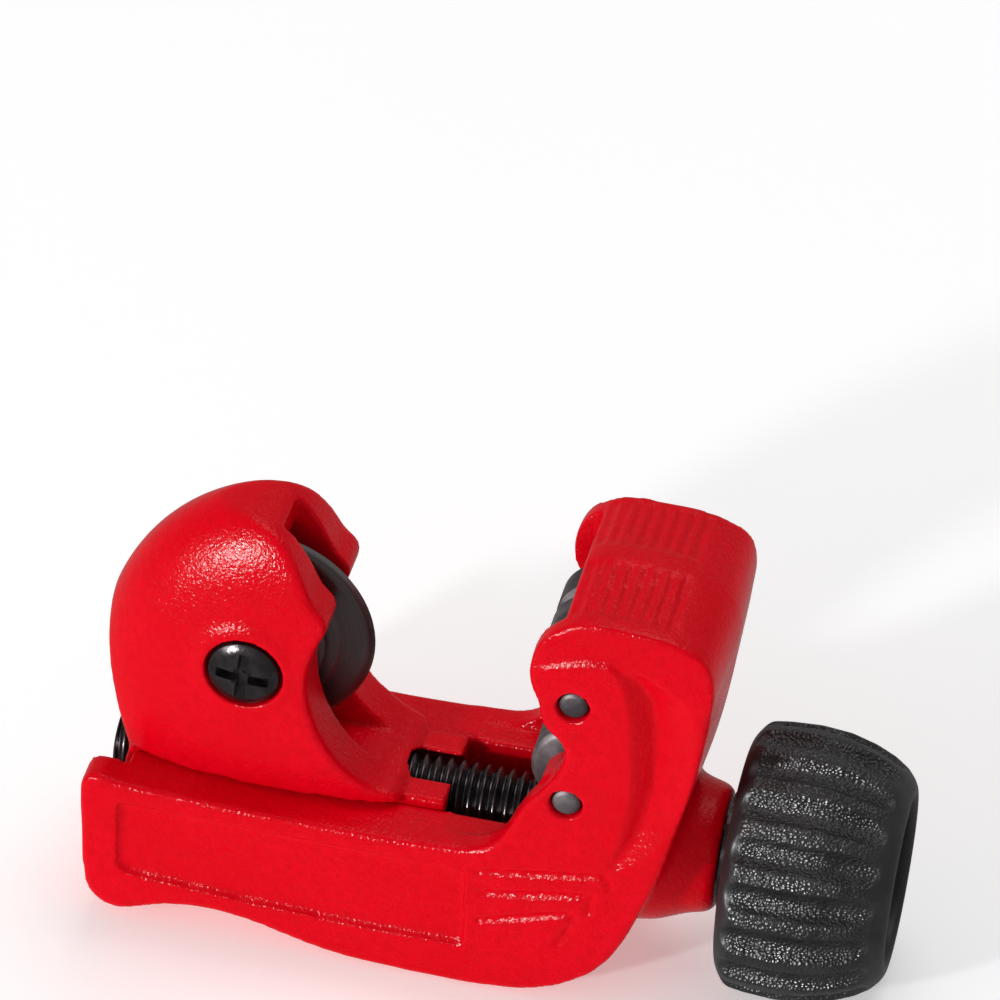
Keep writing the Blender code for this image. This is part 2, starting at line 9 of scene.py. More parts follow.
import bpy
from mathutils import Matrix, Vector


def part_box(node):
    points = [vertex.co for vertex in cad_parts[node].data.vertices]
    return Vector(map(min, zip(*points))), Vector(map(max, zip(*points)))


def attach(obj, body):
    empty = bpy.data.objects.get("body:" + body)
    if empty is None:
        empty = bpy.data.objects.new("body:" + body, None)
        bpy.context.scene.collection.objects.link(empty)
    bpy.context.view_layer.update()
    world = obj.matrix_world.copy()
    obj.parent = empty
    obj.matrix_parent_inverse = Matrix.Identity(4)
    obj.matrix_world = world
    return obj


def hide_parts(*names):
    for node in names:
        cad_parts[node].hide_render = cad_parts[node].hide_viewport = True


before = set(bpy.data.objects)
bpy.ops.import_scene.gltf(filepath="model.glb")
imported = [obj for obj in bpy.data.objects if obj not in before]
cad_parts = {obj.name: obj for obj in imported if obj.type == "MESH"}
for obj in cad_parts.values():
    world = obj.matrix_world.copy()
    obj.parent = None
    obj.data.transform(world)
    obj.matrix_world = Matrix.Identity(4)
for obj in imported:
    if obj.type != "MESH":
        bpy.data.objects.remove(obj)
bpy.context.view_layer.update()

MM = 0.001

# Places read from the frame
WHEEL_LOW, WHEEL_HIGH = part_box("cutter_wheel")
WHEEL_CENTRE = (WHEEL_LOW + WHEEL_HIGH) / 2 / MM
SCREW_LOW, SCREW_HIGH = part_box("spindle")
SPINDLE_Z = (SCREW_LOW.z + SCREW_HIGH.z) / 2 / MM
SCREW_START = SCREW_LOW.x / MM
SCREW_END = SCREW_HIGH.x / MM
GRIP_LOW, GRIP_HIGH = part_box("knob")
GRIP_START = GRIP_LOW.x / MM
GRIP_LENGTH = (GRIP_HIGH.x - GRIP_LOW.x) / MM
ROLLER_CENTRES = [sum(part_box(node), Vector()) / 2 / MM for node in ("upper_roller", "lower_roller")]

# Outline of the frame in X and Z, clockwise from the left end of the ledge
FRAME_OUTLINE = [
    (-46.6, 21.5), (-43.5, 21.0), (-37.5, 20.7), (-30.0, 20.4), (-21.5, 20.2), (-11.5, 20.1),
    (-4.5, 20.4), (0.5, 21.2), (2.5, 23.2), (3.8, 26.0), (5.2, 28.9), (7.0, 31.4),
    (8.6, 34.2), (9.3, 36.6), (8.7, 38.8), (7.1, 40.2), (6.2, 41.8), (5.8, 44.0),
    (4.9, 46.0), (4.5, 48.0), (4.9, 50.6), (6.0, 52.8), (7.8, 54.3), (9.9, 55.3),
    (14.5, 55.5), (19.1, 55.2), (22.4, 54.3), (24.7, 52.8), (25.7, 50.2), (25.6, 45.7),
    (25.0, 39.7), (24.1, 34.0), (23.0, 28.9), (21.9, 23.5), (20.8, 19.1), (19.5, 15.3),
    (17.7, 10.5), (15.5, 6.6), (12.1, 3.5), (7.5, 1.3), (2.5, 0.5), (-4.5, 0.4),
    (-11.5, 0.6), (-17.5, 1.2), (-22.5, 2.4), (-26.5, 3.5), (-30.5, 4.1), (-34.5, 4.1),
    (-38.0, 3.5), (-41.0, 2.4), (-43.3, 1.8), (-45.5, 2.5), (-47.0, 4.2), (-47.6, 7.1),
    (-47.9, 12.7), (-48.1, 18.2), (-47.9, 20.3),
]
HOOD_OUTLINE = [
    (-43.7, 17.9), (-44.3, 21.2), (-45.3, 24.7), (-46.3, 28.7), (-47.3, 33.7), (-47.7, 38.7),
    (-47.2, 43.8), (-45.4, 48.3), (-42.3, 51.7), (-38.2, 54.1), (-33.6, 55.3), (-29.7, 55.3),
    (-26.7, 54.2), (-24.2, 51.2), (-22.3, 47.6), (-20.4, 44.9), (-21.4, 42.1), (-22.3, 38.7),
    (-22.3, 35.3), (-21.5, 31.7), (-19.7, 27.9), (-17.1, 24.7), (-13.9, 22.6), (-10.8, 21.2),
    (-11.6, 17.9),
]
# Edge of the raised part of the head, and how deep the step behind it is at each point
PLATEAU_EDGE = [
    (14.4, 50.6), (15.4, 48.6), (16.3, 45.5), (16.9, 41.1), (17.3, 34.7), (17.0, 28.7),
    (16.0, 24.0), (14.6, 20.5),
]
STEP_DEPTHS = (0.05, 0.6, 0.95, 1.0, 0.95, 0.7, 0.35, 0.03)
BROW = [
    (-2.0, 47.6), (5.3, 48.7), (8.0, 49.7), (11.0, 50.6), (13.6, 50.8), (15.6, 49.0),
    (17.0, 45.5), (32.0, 45.5), (32.0, 62.0), (-2.0, 62.0),
]
PANEL = [
    (-43.4, 18.1), (-43.4, 9.0), (-42.3, 7.7), (-27.5, 6.7), (-13.5, 6.2), (-1.1, 6.2),
    (-1.3, 17.4), (-11.5, 17.6), (-27.5, 17.8),
]
STRIPES = [
    [(0.2, 17.7), (15.2, 20.4), (15.9, 18.6)],
    [(0.4, 14.6), (13.9, 17.1), (13.5, 14.5)],
    [(0.6, 10.4), (11.4, 13.9), (11.9, 12.6), (10.1, 9.1)],
]
SHOULDER = [
    (-60.0, 22.0), (-46.6, 22.0), (-43.5, 21.5), (-37.5, 21.1), (-30.0, 20.8), (-21.5, 20.8),
    (0.0, 20.8), (0.0, 0.0), (-60.0, 0.0),
]

BODY_HALF = 14.0  # half the frame's thickness
BROW_FOOT = 45.5  # height from which the head's faces lean in
FAR = 60.0  # beyond every piece
PIN_BORE = 1.95
SPINDLE_BORE = 4.3
NUT_BORE = 5.2
AXLE_BORE = 2.8
SCREW_HEAD_BORE = 4.7
WHEEL_POCKET = 14.3
GRIP_BORE = 3.3
THREAD_PITCH = 1.5
THREAD_CREST = 4.9
THREAD_ROOT = 4.05
THREAD_END = 8.1
FLUTES = 18
PAD_GROOVES = 8
PAD_PITCH = 1.57
MERGE = 0.002 * MM  # vertices closer than this become one

# Lamps, in metres
KEY_PLACE = (-0.468, -0.72, 0.30)
TOOL_MIDDLE = (0, 0, 0.03)


# Selecting and placing


def leave_edit_mode():
    if bpy.context.object and bpy.context.object.mode != "OBJECT":
        bpy.ops.object.mode_set(mode="OBJECT")


def pick_only(piece):
    leave_edit_mode()
    bpy.ops.object.select_all(action="DESELECT")
    piece.select_set(True)
    bpy.context.view_layer.objects.active = piece


def pick_none():
    leave_edit_mode()
    bpy.ops.object.select_all(action="DESELECT")


def settle(piece, name):
    """Give the piece its name and put its place into its mesh."""
    pick_only(piece)
    bpy.ops.object.transform_apply(location=True, rotation=True, scale=True)
    piece.name = name
    piece.data.name = name
    return piece


def apply_modifier(piece, kind, **settings):
    modifier = piece.modifiers.new(kind.lower(), kind)
    for key, value in settings.items():
        setattr(modifier, key, value)
    pick_only(piece)
    bpy.ops.object.modifier_apply(modifier=modifier.name)


def joined(pieces, name):
    pick_only(pieces[0])
    for piece in pieces:
        piece.select_set(True)
    bpy.ops.object.join()
    return settle(bpy.context.object, name)


def combine(body, tool, operation="DIFFERENCE"):
    apply_modifier(body, "BOOLEAN", operation=operation, solver="EXACT", object=tool)
    bpy.data.objects.remove(tool, do_unlink=True)


def tidy_mesh(piece):
    pick_only(piece)
    bpy.ops.object.mode_set(mode="EDIT")
    bpy.ops.mesh.select_all(action="SELECT")
    bpy.ops.mesh.remove_doubles(threshold=MERGE)
    bpy.ops.mesh.normals_make_consistent(inside=False)
    leave_edit_mode()


def smooth_shading(piece, degrees=35):
    pick_only(piece)
    bpy.ops.object.shade_smooth_by_angle(angle=math.radians(degrees))


# Shapes


def box(low, high):
    low, high = Vector(low), Vector(high)
    pick_none()
    bpy.ops.mesh.primitive_cube_add(size=1, location=(low + high) / 2 * MM)
    piece = bpy.context.object
    piece.scale = (high - low) * MM
    return settle(piece, "box")


def bar(start, end, radius, sides=32):
    """A cylinder from one point to another."""
    start, end = Vector(start), Vector(end)
    pick_none()
    bpy.ops.mesh.primitive_cylinder_add(
        vertices=sides,
        radius=radius * MM,
        depth=(end - start).length * MM,
        location=(start + end) / 2 * MM,
        rotation=(end - start).to_track_quat("Z", "Y").to_euler(),
    )
    return settle(bpy.context.object, "bar")


def capsule(start, end, radius, sides=12):
    """A bar with round ends, for grooves that run out softly."""
    start, end = Vector(start), Vector(end)
    length = (end - start).length
    pick_none()
    bpy.ops.mesh.primitive_uv_sphere_add(segments=sides, ring_count=sides // 2, radius=radius * MM)
    piece = bpy.context.object
    bpy.ops.object.mode_set(mode="EDIT")
    bpy.ops.mesh.bisect(plane_co=(0, 0, 0), plane_no=(0, 0, 1), use_fill=False)
    leave_edit_mode()
    for vertex in piece.data.vertices:
        vertex.co.z += math.copysign(length / 2 * MM, vertex.co.z) if abs(vertex.co.z) > 1e-7 else 0
    piece.location = (start + end) / 2 * MM
    piece.rotation_euler = (end - start).to_track_quat("Z", "Y").to_euler()
    return settle(piece, "capsule")


def flat_curve(points, handle, closed):
    """A curve through points of (x, z), still lying flat."""
    pick_none()
    bpy.ops.curve.primitive_bezier_circle_add()
    piece = bpy.context.object
    curve = piece.data
    curve.dimensions = "2D"
    curve.resolution_u = 6
    curve.splines.clear()
    spline = curve.splines.new("BEZIER")
    spline.bezier_points.add(len(points) - 1)
    for point, (x, z) in zip(spline.bezier_points, points):
        point.co = (x * MM, z * MM, 0)
        point.handle_left_type = point.handle_right_type = handle
    spline.use_cyclic_u = closed
    return piece


def stand_up(piece, y):
    """Make the curve a mesh and stand it on edge at Y = y."""
    pick_only(piece)
    bpy.ops.object.convert(target="MESH")
    piece = bpy.context.object
    piece.rotation_euler = (math.pi / 2, 0, 0)
    piece.location.y = y * MM
    settle(piece, "plate")
    tidy_mesh(piece)
    return piece


def plate(outline, y_front, y_back, rounded=True):
    """A flat curve through the outline's points, given its thickness and made a mesh."""
    piece = flat_curve(outline, "AUTO" if rounded else "VECTOR", True)
    piece.data.fill_mode = "BOTH"
    piece.data.extrude = abs(y_back - y_front) / 2 * MM
    return stand_up(piece, (y_front + y_back) / 2)


def swept(path, radius):
    """A round rod along a smooth curve, with closed ends."""
    pick_none()
    bpy.ops.curve.primitive_bezier_curve_add()
    curve = bpy.context.object.data
    curve.splines.clear()
    curve.bevel_depth = radius * MM
    curve.bevel_resolution = 5
    curve.use_fill_caps = True
    spline = curve.splines.new("BEZIER")
    spline.bezier_points.add(len(path) - 1)
    for point, place in zip(spline.bezier_points, path):
        point.co = Vector(place) * MM
        point.handle_left_type = point.handle_right_type = "AUTO"
    bpy.ops.object.convert(target="MESH")
    piece = settle(bpy.context.object, "swept")
    tidy_mesh(piece)
    return piece


def turned(profile, centre, axis, steps=64):
    """Extrude one vertex along a profile of (along, radius) and spin it round the axis."""
    along = Vector((1, 0, 0)) if axis == "X" else Vector((0, 1, 0))
    across = Vector((0, 0, 1))
    centre = Vector(centre)
    places = [(centre + along * a + across * r) * MM for a, r in profile]
    pick_none()
    bpy.ops.mesh.primitive_plane_add(size=MM)
    piece = bpy.context.object
    bpy.ops.object.mode_set(mode="EDIT")
    bpy.ops.mesh.select_all(action="SELECT")
    bpy.ops.mesh.merge(type="CENTER")
    bpy.ops.transform.translate(value=places[0])
    for before, after in zip(places, places[1:]):
        bpy.ops.mesh.extrude_vertices_move(TRANSFORM_OT_translate={"value": after - before})
    bpy.ops.mesh.select_all(action="SELECT")
    bpy.ops.mesh.spin(steps=steps, angle=math.tau, center=centre * MM, axis=along)
    leave_edit_mode()
    tidy_mesh(piece)
    return settle(piece, "turned")


def close_ring(piece):
    """Close the loop of a profile that never reaches its axis."""
    pick_only(piece)
    bpy.ops.object.mode_set(mode="EDIT")
    bpy.ops.mesh.select_all(action="DESELECT")
    bpy.ops.mesh.select_non_manifold(use_boundary=True)
    bpy.ops.mesh.bridge_edge_loops()
    bpy.ops.mesh.select_all(action="SELECT")
    bpy.ops.mesh.normals_make_consistent(inside=False)
    leave_edit_mode()


def recast(piece, voxel, passes):
    """Give a casting one even skin and ease its edges."""
    apply_modifier(piece, "REMESH", mode="VOXEL", voxel_size=voxel * MM)
    apply_modifier(piece, "SMOOTH", factor=0.5, iterations=passes)
    pick_only(piece)
    bpy.ops.object.shade_smooth()


def swell_middle(piece, amount, side_amount):
    """Push out a parting line at Y = 0, most on top of the head and on its side towards the grip."""
    pick_only(piece)
    bpy.ops.object.mode_set(mode="EDIT")
    bpy.ops.mesh.select_all(action="SELECT")
    bpy.ops.mesh.bisect(plane_co=(0, 0, 0), plane_no=(0, 1, 0), use_fill=False)
    bpy.ops.transform.shrink_fatten(value=amount * MM)
    bpy.ops.mesh.select_all(action="DESELECT")
    leave_edit_mode()
    for vertex in piece.data.vertices:
        x, y, z = vertex.co / MM
        vertex.select = abs(y) < 0.01 and (x > 21 and z > 12 or z > 50)
    bpy.ops.object.mode_set(mode="EDIT")
    bpy.ops.transform.shrink_fatten(value=side_amount * MM)
    leave_edit_mode()


def wedge_cutter(edge, side, face):
    """A step down from an edge that rises again behind it and thins out at both ends."""
    section = [(0.2, side * -0.2), (-2.4, side * 2.3), (-8.0, side * -0.1), (-3.0, side * -3.0)]
    profile = flat_curve(section, "VECTOR", True)
    wedge = flat_curve(edge, "AUTO", False)
    for point, depth in zip(wedge.data.splines[0].bezier_points, STEP_DEPTHS):
        point.radius = depth
    wedge.data.bevel_mode = "OBJECT"
    wedge.data.bevel_object = profile
    wedge.data.use_fill_caps = True
    wedge = stand_up(wedge, face)
    bpy.data.objects.remove(profile, do_unlink=True)
    return wedge


def brow_cutter(side):
    """Sets the face above the roller boss back, further the higher it goes."""
    inner, outer = side * (BODY_HALF + 0.02), side * (BODY_HALF + 6)
    cutter = plate(BROW, *sorted((inner, outer)), rounded=False)
    for vertex in cutter.data.vertices:
        if abs(vertex.co.y) < (BODY_HALF + 1) * MM:
            vertex.co.y -= side * 0.1 * max(vertex.co.z - BROW_FOOT * MM, 0)
    return cutter


def pad_grooves(body):
    """Two rows of shallow grooves that follow the top of the head."""
    grooves = []
    for row in ((-10.2, -1.2), (3.2, 11.6)):
        for groove in range(PAD_GROOVES):
            x = 8.9 + PAD_PITCH * groove
            ends = []
            for y in row:
                _, place, _, _ = body.ray_cast(Vector((x, y, FAR)) * MM, (0, 0, -1))
                ends.append(place / MM + Vector((0, 0, 0.27)))
            grooves.append(capsule(*ends, 0.65, 16))
    return grooves


# Castings


def make_frame_casting():
    """Bar, head and neck in one casting, hollowed for the block and the rollers."""
    body = plate(FRAME_OUTLINE, -BODY_HALF, BODY_HALF)
    swell_middle(body, amount=0.12, side_amount=0.55)
    neck = turned(
        [(15, 0), (15, 9.6), (17, 10.2), (20.6, 9.6), (24, 8.2), (26.2, 7.7), (27, 7.1), (27, 0)],
        (0, 0, SPINDLE_Z),
        "X",
    )
    combine(body, neck, "UNION")
    recast(body, 0.45, 7)
    grooves = pad_grooves(body)

    trough = [(-FAR, 8.3), (14.8, 8.3), (14.8, 22.1), (1.0, 22.1), (1.0, FAR), (-FAR, FAR)]
    combine(body, plate(trough, -7.0, 7.0, rounded=False))
    combine(body, box((-FAR - 1, -9.6, 11.0), (-43.3, 9.6, FAR + 1)))
    slot = [(-4.5, 20.3), (16.3, 20.3), (16.3, 50.6), (7.8, 50.6), (7.8, FAR + 2), (-4.5, FAR + 2)]
    combine(body, plate(slot, -10.8, 10.8, rounded=False))
    combine(body, bar((12.5, 0, SPINDLE_Z), (FAR, 0, SPINDLE_Z), SPINDLE_BORE, 40))
    for centre in ROLLER_CENTRES:
        for side in (-1, 1):
            start, end = (Vector((centre.x, side * y, centre.z)) for y in (7.8, 11.8))
            combine(body, bar(start, end, 3.6, 40), "UNION")
        combine(body, bar((centre.x, -FAR, centre.z), (centre.x, FAR, centre.z), PIN_BORE, 40))

    details = []
    for side in (-1, 1):
        face = side * BODY_HALF
        details.append(wedge_cutter(PLATEAU_EDGE, side, face))
        details.append(brow_cutter(side))
        details.append(plate(PANEL, *sorted((face - side * 0.8, face + side * 6)), rounded=False))
        for stripe in STRIPES:
            points = [Vector((x, face + side * 0.1, z)) for x, z in stripe]
            for start, end in zip(points, points[1:]):
                details.append(capsule(start, end, 0.62))
    details += grooves
    for detail in details:
        combine(body, detail)
    recast(body, 0.4, 2)
    return settle(body, "frame_casting")


def make_hood_casting():
    """Domed hood over the wheel, with the block that runs on the feed screw."""
    body = plate(HOOD_OUTLINE, -12, 12)
    pick_none()
    bpy.ops.mesh.primitive_uv_sphere_add(segments=96, ring_count=48, radius=1)
    dome = bpy.context.object
    for vertex in dome.data.vertices:
        spread = vertex.co.x ** 2 + vertex.co.z ** 2
        vertex.co.y = math.copysign(math.sqrt(max(1 - spread ** 2, 0)), vertex.co.y)
    dome.scale = Vector((23.3, 9.4, 27.4)) * MM
    dome.location = Vector((-26.0, 0, 30.0)) * MM
    combine(body, settle(dome, "dome"), "INTERSECT")
    x, _, z = WHEEL_CENTRE
    boss = [(-9.7, 0), (-9.7, 5.5), (-9.2, 6.5), (-8.3, 7.2)]
    boss += [(-a, radius) for a, radius in reversed(boss)]
    combine(body, turned(boss, (x, 0, z), "Y"), "UNION")
    recast(body, 0.45, 7)
    for side in (-1, 1):
        combine(body, plate(SHOULDER, *sorted((side * 6.3, side * 30)), rounded=False))
    block_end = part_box("slide")[1].x / MM
    block = [(-44.6, 8.7), (-44.6, 18.7), (-43, 24.7), (-21.5, 24.7), (-15.1, 21.9), (-11.5, 21.1)]
    block += [(block_end, 21.1), (block_end, 10.2), (block_end - 1.5, 8.7)]
    combine(body, plate(block, -6.7, 6.7, rounded=False), "UNION")
    combine(body, bar((x, -3, z), (x, 3, z), WHEEL_POCKET, 96))
    combine(body, box((-27.2, -3, z - WHEEL_POCKET), (0, 3, 70)))
    combine(body, bar((-60, 0, SPINDLE_Z), (10, 0, SPINDLE_Z), NUT_BORE, 48))
    combine(body, bar((x, -20, z), (x, 20, z), AXLE_BORE, 40))
    combine(body, bar((x, -20, z), (x, -7.1, z), SCREW_HEAD_BORE, 64))
    recast(body, 0.32, 3)
    return settle(body, "hood_casting")


# Turned and threaded pieces


def make_feed_screw():
    """Shank with a real helix: one pitch of the profile, screwed along the axis, then cut square."""
    pick_none()
    bpy.ops.mesh.primitive_plane_add(size=MM)
    thread = bpy.context.object
    bpy.ops.object.mode_set(mode="EDIT")
    bpy.ops.mesh.select_all(action="SELECT")
    bpy.ops.mesh.merge(type="CENTER")
    profile = [
        (0, THREAD_ROOT), (0.1, THREAD_ROOT), (0.62, THREAD_CREST - 0.04), (0.72, THREAD_CREST),
        (0.84, THREAD_CREST), (0.94, THREAD_CREST - 0.04), (1.46, THREAD_ROOT),
        (THREAD_PITCH, THREAD_ROOT),
    ]
    places = [Vector((r, 0, a)) * MM for a, r in profile]
    bpy.ops.transform.translate(value=places[0])
    for before, after in zip(places, places[1:]):
        bpy.ops.mesh.extrude_vertices_move(TRANSFORM_OT_translate={"value": after - before})
    leave_edit_mode()
    turns = math.ceil((THREAD_END - SCREW_START) / THREAD_PITCH) + 5
    apply_modifier(
        thread, "SCREW", angle=math.tau, screw_offset=THREAD_PITCH * MM, iterations=turns,
        steps=24, render_steps=24, use_merge_vertices=True, merge_threshold=MERGE,
    )
    thread.rotation_euler = (0, math.pi / 2, 0)
    thread.location = Vector((SCREW_START - 2.3 * THREAD_PITCH, 0, SPINDLE_Z)) * MM
    settle(thread, "thread")
    bpy.ops.object.mode_set(mode="EDIT")
    for x, keep_right in ((SCREW_START, True), (THREAD_END, False)):
        bpy.ops.mesh.select_all(action="SELECT")
        bpy.ops.mesh.bisect(
            plane_co=(x * MM, 0, SPINDLE_Z * MM), plane_no=(1, 0, 0), use_fill=True,
            clear_inner=keep_right, clear_outer=not keep_right, threshold=1e-7,
        )
    leave_edit_mode()
    tidy_mesh(thread)
    shank = turned(
        [
            (7.0, 0), (7.0, 3.8), (8.2, 4.0), (12.05, 4.0), (12.05, 3.2), (12.95, 3.2),
            (12.95, 4.0), (28, 4.0), (28, 3.2), (SCREW_END - 0.4, 3.2), (SCREW_END, 2.8),
            (SCREW_END, 0),
        ],
        (0, 0, SPINDLE_Z), "X", 48,
    )
    chamfer = turned(
        [
            (SCREW_START - 1, 6.5), (SCREW_START - 1, 4.2), (SCREW_START, 4.2),
            (SCREW_START + 1.2, 5.4), (SCREW_START + 1.2, 6.5),
        ],
        (0, 0, SPINDLE_Z), "X", 48,
    )
    close_ring(chamfer)
    combine(thread, chamfer)
    combine(thread, shank, "UNION")
    smooth_shading(thread, 40)
    return settle(thread, "feed_screw")


def make_grip():
    """Barrel-shaped knob with swept flutes, hollow at its outer end."""
    start, length = GRIP_START, GRIP_LENGTH
    outer = [
        (0.0, 0), (0.0, 13.2), (0.25, 14.0), (0.9, 15.0), (1.3, 15.55), (1.9, 15.9), (4.0, 16.2),
        (7.6, 16.4), (11.2, 16.1), (14.3, 15.3), (16.7, 14.3), (18.4, 13.2), (19.3, 12.2),
        (length - 0.15, 11.4), (length, 10.9),
    ]
    inner = [
        (length, 10.4), (length - 0.5, 9.95), (length - 3, 9.8), (length - 11.9, 9.6),
        (length - 12.3, 9.2), (length - 12.3, 0),
    ]
    grip = turned([(start + a, r) for a, r in outer + inner], (0, 0, SPINDLE_Z), "X", 144)
    cutters = []
    flute_path = [
        (1.0, 17.0), (3.4, 16.8), (7.6, 17.0), (11.2, 16.7), (14.3, 15.9), (16.7, 15.3),
        (18.6, 14.9),
    ]
    for flute in range(FLUTES):
        angle = math.tau * (flute + 0.5) / FLUTES
        across, up = math.sin(angle), math.cos(angle)
        path = [(start + a, across * r, SPINDLE_Z + up * r) for a, r in flute_path]
        cutters.append(swept(path, 2.0))
    combine(grip, joined(cutters, "flutes"))
    combine(grip, bar((start - 5, 0, SPINDLE_Z), (start + 12, 0, SPINDLE_Z), GRIP_BORE, 40))
    recast(grip, 0.32, 4)
    return settle(grip, "fluted_grip")


def make_cutter_wheel():
    """Disc with a hub, a stepped flank and a ground edge."""
    x, _, z = WHEEL_CENTRE
    side = [
        (2.3, 4.3), (2.3, 7.4), (2.1, 7.9), (1.7, 8.2), (1.6, 9.2), (1.5, 9.5), (1.3, 9.75),
        (1.25, 10.2), (1.15, 12.0), (1.0, 12.6), (0.75, 13.0), (0.12, 13.44), (0.04, 13.5),
    ]
    profile = [(-a, r) for a, r in side] + side[::-1]
    wheel = turned(profile, (x, 0, z), "Y", 128)
    close_ring(wheel)
    smooth_shading(wheel, 25)
    return settle(wheel, "cutting_disc")


def cross_recess(centre, direction, size, depth):
    """Cutter for a cross-shaped driver recess whose arms narrow with depth."""
    lean = 0.08
    arms = []
    for turn in (0, math.pi / 2):
        pick_none()
        bpy.ops.mesh.primitive_cube_add(size=1)
        arm = bpy.context.object
        arm.scale = Vector((size, size * 0.155, depth * 2)) * MM
        settle(arm, "arm")
        bpy.ops.object.mode_set(mode="EDIT")
        bpy.ops.mesh.select_all(action="DESELECT")
        leave_edit_mode()
        for vertex in arm.data.vertices:
            vertex.select = vertex.co.z < 0
        bpy.ops.object.mode_set(mode="EDIT")
        bpy.ops.transform.resize(value=(0.45, 0.75, 1))
        leave_edit_mode()
        arm.rotation_euler = (0, 0, turn - lean)
        arms.append(settle(arm, "arm"))
    pick_none()
    bpy.ops.mesh.primitive_cone_add(
        vertices=4, radius1=0.2 * MM, radius2=size * 0.29 * MM, depth=depth * 2.2 * MM,
        rotation=(0, 0, math.pi / 4 - lean),
    )
    cutter = settle(bpy.context.object, "cross")
    for arm in arms:
        combine(cutter, arm, "UNION")
    cutter.rotation_euler = Vector(direction).to_track_quat("Z", "Y").to_euler()
    cutter.location = Vector(centre) * MM
    return settle(cutter, "cross")


def make_wheel_screw():
    """Domed head with a cross recess, on the shank that carries the wheel."""
    low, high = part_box("wheel_screw")
    front, back = low.y / MM, high.y / MM
    x, _, z = WHEEL_CENTRE
    profile = [
        (front, 0), (front + 0.04, 1.4), (front + 0.2, 2.8), (front + 0.5, 3.7),
        (front + 0.9, 4.2), (front + 1.3, 4.32), (front + 2.1, 4.32), (front + 2.1, 2.5),
        (back - 0.5, 2.5), (back, 2.0), (back, 0),
    ]
    screw = turned(profile, (x, 0, z), "Y")
    combine(screw, cross_recess((x, front - 0.05, z), (0, -1, 0), 9.6, 1.5))
    smooth_shading(screw, 30)
    return settle(screw, "cross_head_screw")


def make_roller(name, centre):
    """Barrel with eased ends and one groove, bored for its pin."""
    low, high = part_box(name)
    half, radius = (high.y - low.y) / 2 / MM, (high.x - low.x) / 2 / MM
    groove_foot = radius - 1.0
    profile = [
        (-half, PIN_BORE), (-half, radius - 0.7), (-half + 0.2, radius - 0.3),
        (-half + 0.6, radius), (0.7, radius), (0.9, radius - 0.1), (1.25, groove_foot),
        (2.55, groove_foot), (2.9, radius - 0.1), (3.1, radius), (half - 0.6, radius),
        (half - 0.2, radius - 0.3), (half, radius - 0.7), (half, PIN_BORE),
    ]
    roller = turned(profile, (centre.x, 0, centre.z), "Y")
    close_ring(roller)
    smooth_shading(roller, 30)
    return settle(roller, name + "_barrel")


def make_pin(name):
    low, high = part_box(name)
    centre = (low + high) / 2 / MM
    half, radius = (high.y - low.y) / 2 / MM, (high.x - low.x) / 2 / MM
    start = [(-half, 0), (-half, radius - 0.45), (-half + 0.1, radius - 0.2), (-half + 0.3, radius)]
    profile = start + [(-a, r) for a, r in reversed(start)]
    pin = turned(profile, (centre.x, 0, centre.z), "Y", 40)
    smooth_shading(pin, 30)
    return settle(pin, name + "_rod")


# Materials


class Signal:
    """A shader socket that takes part in ordinary arithmetic."""

    def __init__(self, look, socket):
        self.look = look
        self.socket = socket

    def maths(self, operation, *values):
        return self.look.node("ShaderNodeMath", {"operation": operation}, dict(enumerate(values)))

    def __add__(self, other):
        return self.maths("ADD", self, other)

    def __sub__(self, other):
        return self.maths("SUBTRACT", self, other)

    def __rsub__(self, other):
        return self.maths("SUBTRACT", other, self)

    def __mul__(self, other):
        return self.maths("MULTIPLY", self, other)

    __radd__ = __add__
    __rmul__ = __mul__

    def root(self):
        return self.maths("SQRT", self)

    def band(self, low, high):
        """0 below low, 1 above high."""
        sockets = {0: self, 1: low, 2: high, 3: 0.0, 4: 1.0}
        return self.look.node("ShaderNodeMapRange", {"interpolation_type": "SMOOTHSTEP"}, sockets)


class Look:
    """One finish: a Principled shader and the nodes that feed it."""

    def __init__(self, name, **values):
        self.material = bpy.data.materials.new(name)
        self.material.use_nodes = True
        self.tree = self.material.node_tree
        self.shader = self.tree.nodes["Principled BSDF"]
        for key, value in values.items():
            self.shader.inputs[key.replace("_", " ")].default_value = value
        self.place = self.node("ShaderNodeTexCoord", {}, {}, "Object")

    def node(self, kind, settings, sockets, output=0):
        """Add a node, set it up, and give its sockets their values or links."""
        node = self.tree.nodes.new(kind)
        for key, value in settings.items():
            setattr(node, key, value)
        for key, value in sockets.items():
            if isinstance(value, Signal):
                self.tree.links.new(value.socket, node.inputs[key])
            else:
                node.inputs[key].default_value = value
        return Signal(self, node.outputs[output])

    def axes(self):
        """The place's X, Y and Z, each on its own."""
        split = self.node("ShaderNodeSeparateXYZ", {}, {"Vector": self.place}).socket.node
        return [Signal(self, output) for output in split.outputs]

    def noise(self, scale, detail=2.0, rough=0.5):
        sockets = {"Vector": self.place, "Scale": scale, "Detail": detail, "Roughness": rough}
        return self.node("ShaderNodeTexNoise", {}, sockets)

    def cells(self, scale):
        sockets = {"Vector": self.place, "Scale": scale}
        return self.node("ShaderNodeTexVoronoi", {"feature": "F1"}, sockets, "Distance")

    def mix(self, factor, first, second):
        colours = [value if isinstance(value, Signal) else (*value, 1) for value in (first, second)]
        sockets = dict(zip((0, 6, 7), (factor, *colours)))
        return self.node("ShaderNodeMix", {"data_type": "RGBA"}, sockets, 2)

    def bump(self, height, distance, under=None):
        sockets = {"Strength": 1.0, "Distance": distance * MM, "Height": height}
        if under:
            sockets["Normal"] = under
        return self.node("ShaderNodeBump", {}, sockets)

    def feed(self, socket, signal):
        self.tree.links.new(signal.socket, self.shader.inputs[socket])

    def wear(self, *pieces):
        for piece in pieces:
            piece.data.materials.clear()
            piece.data.materials.append(self.material)


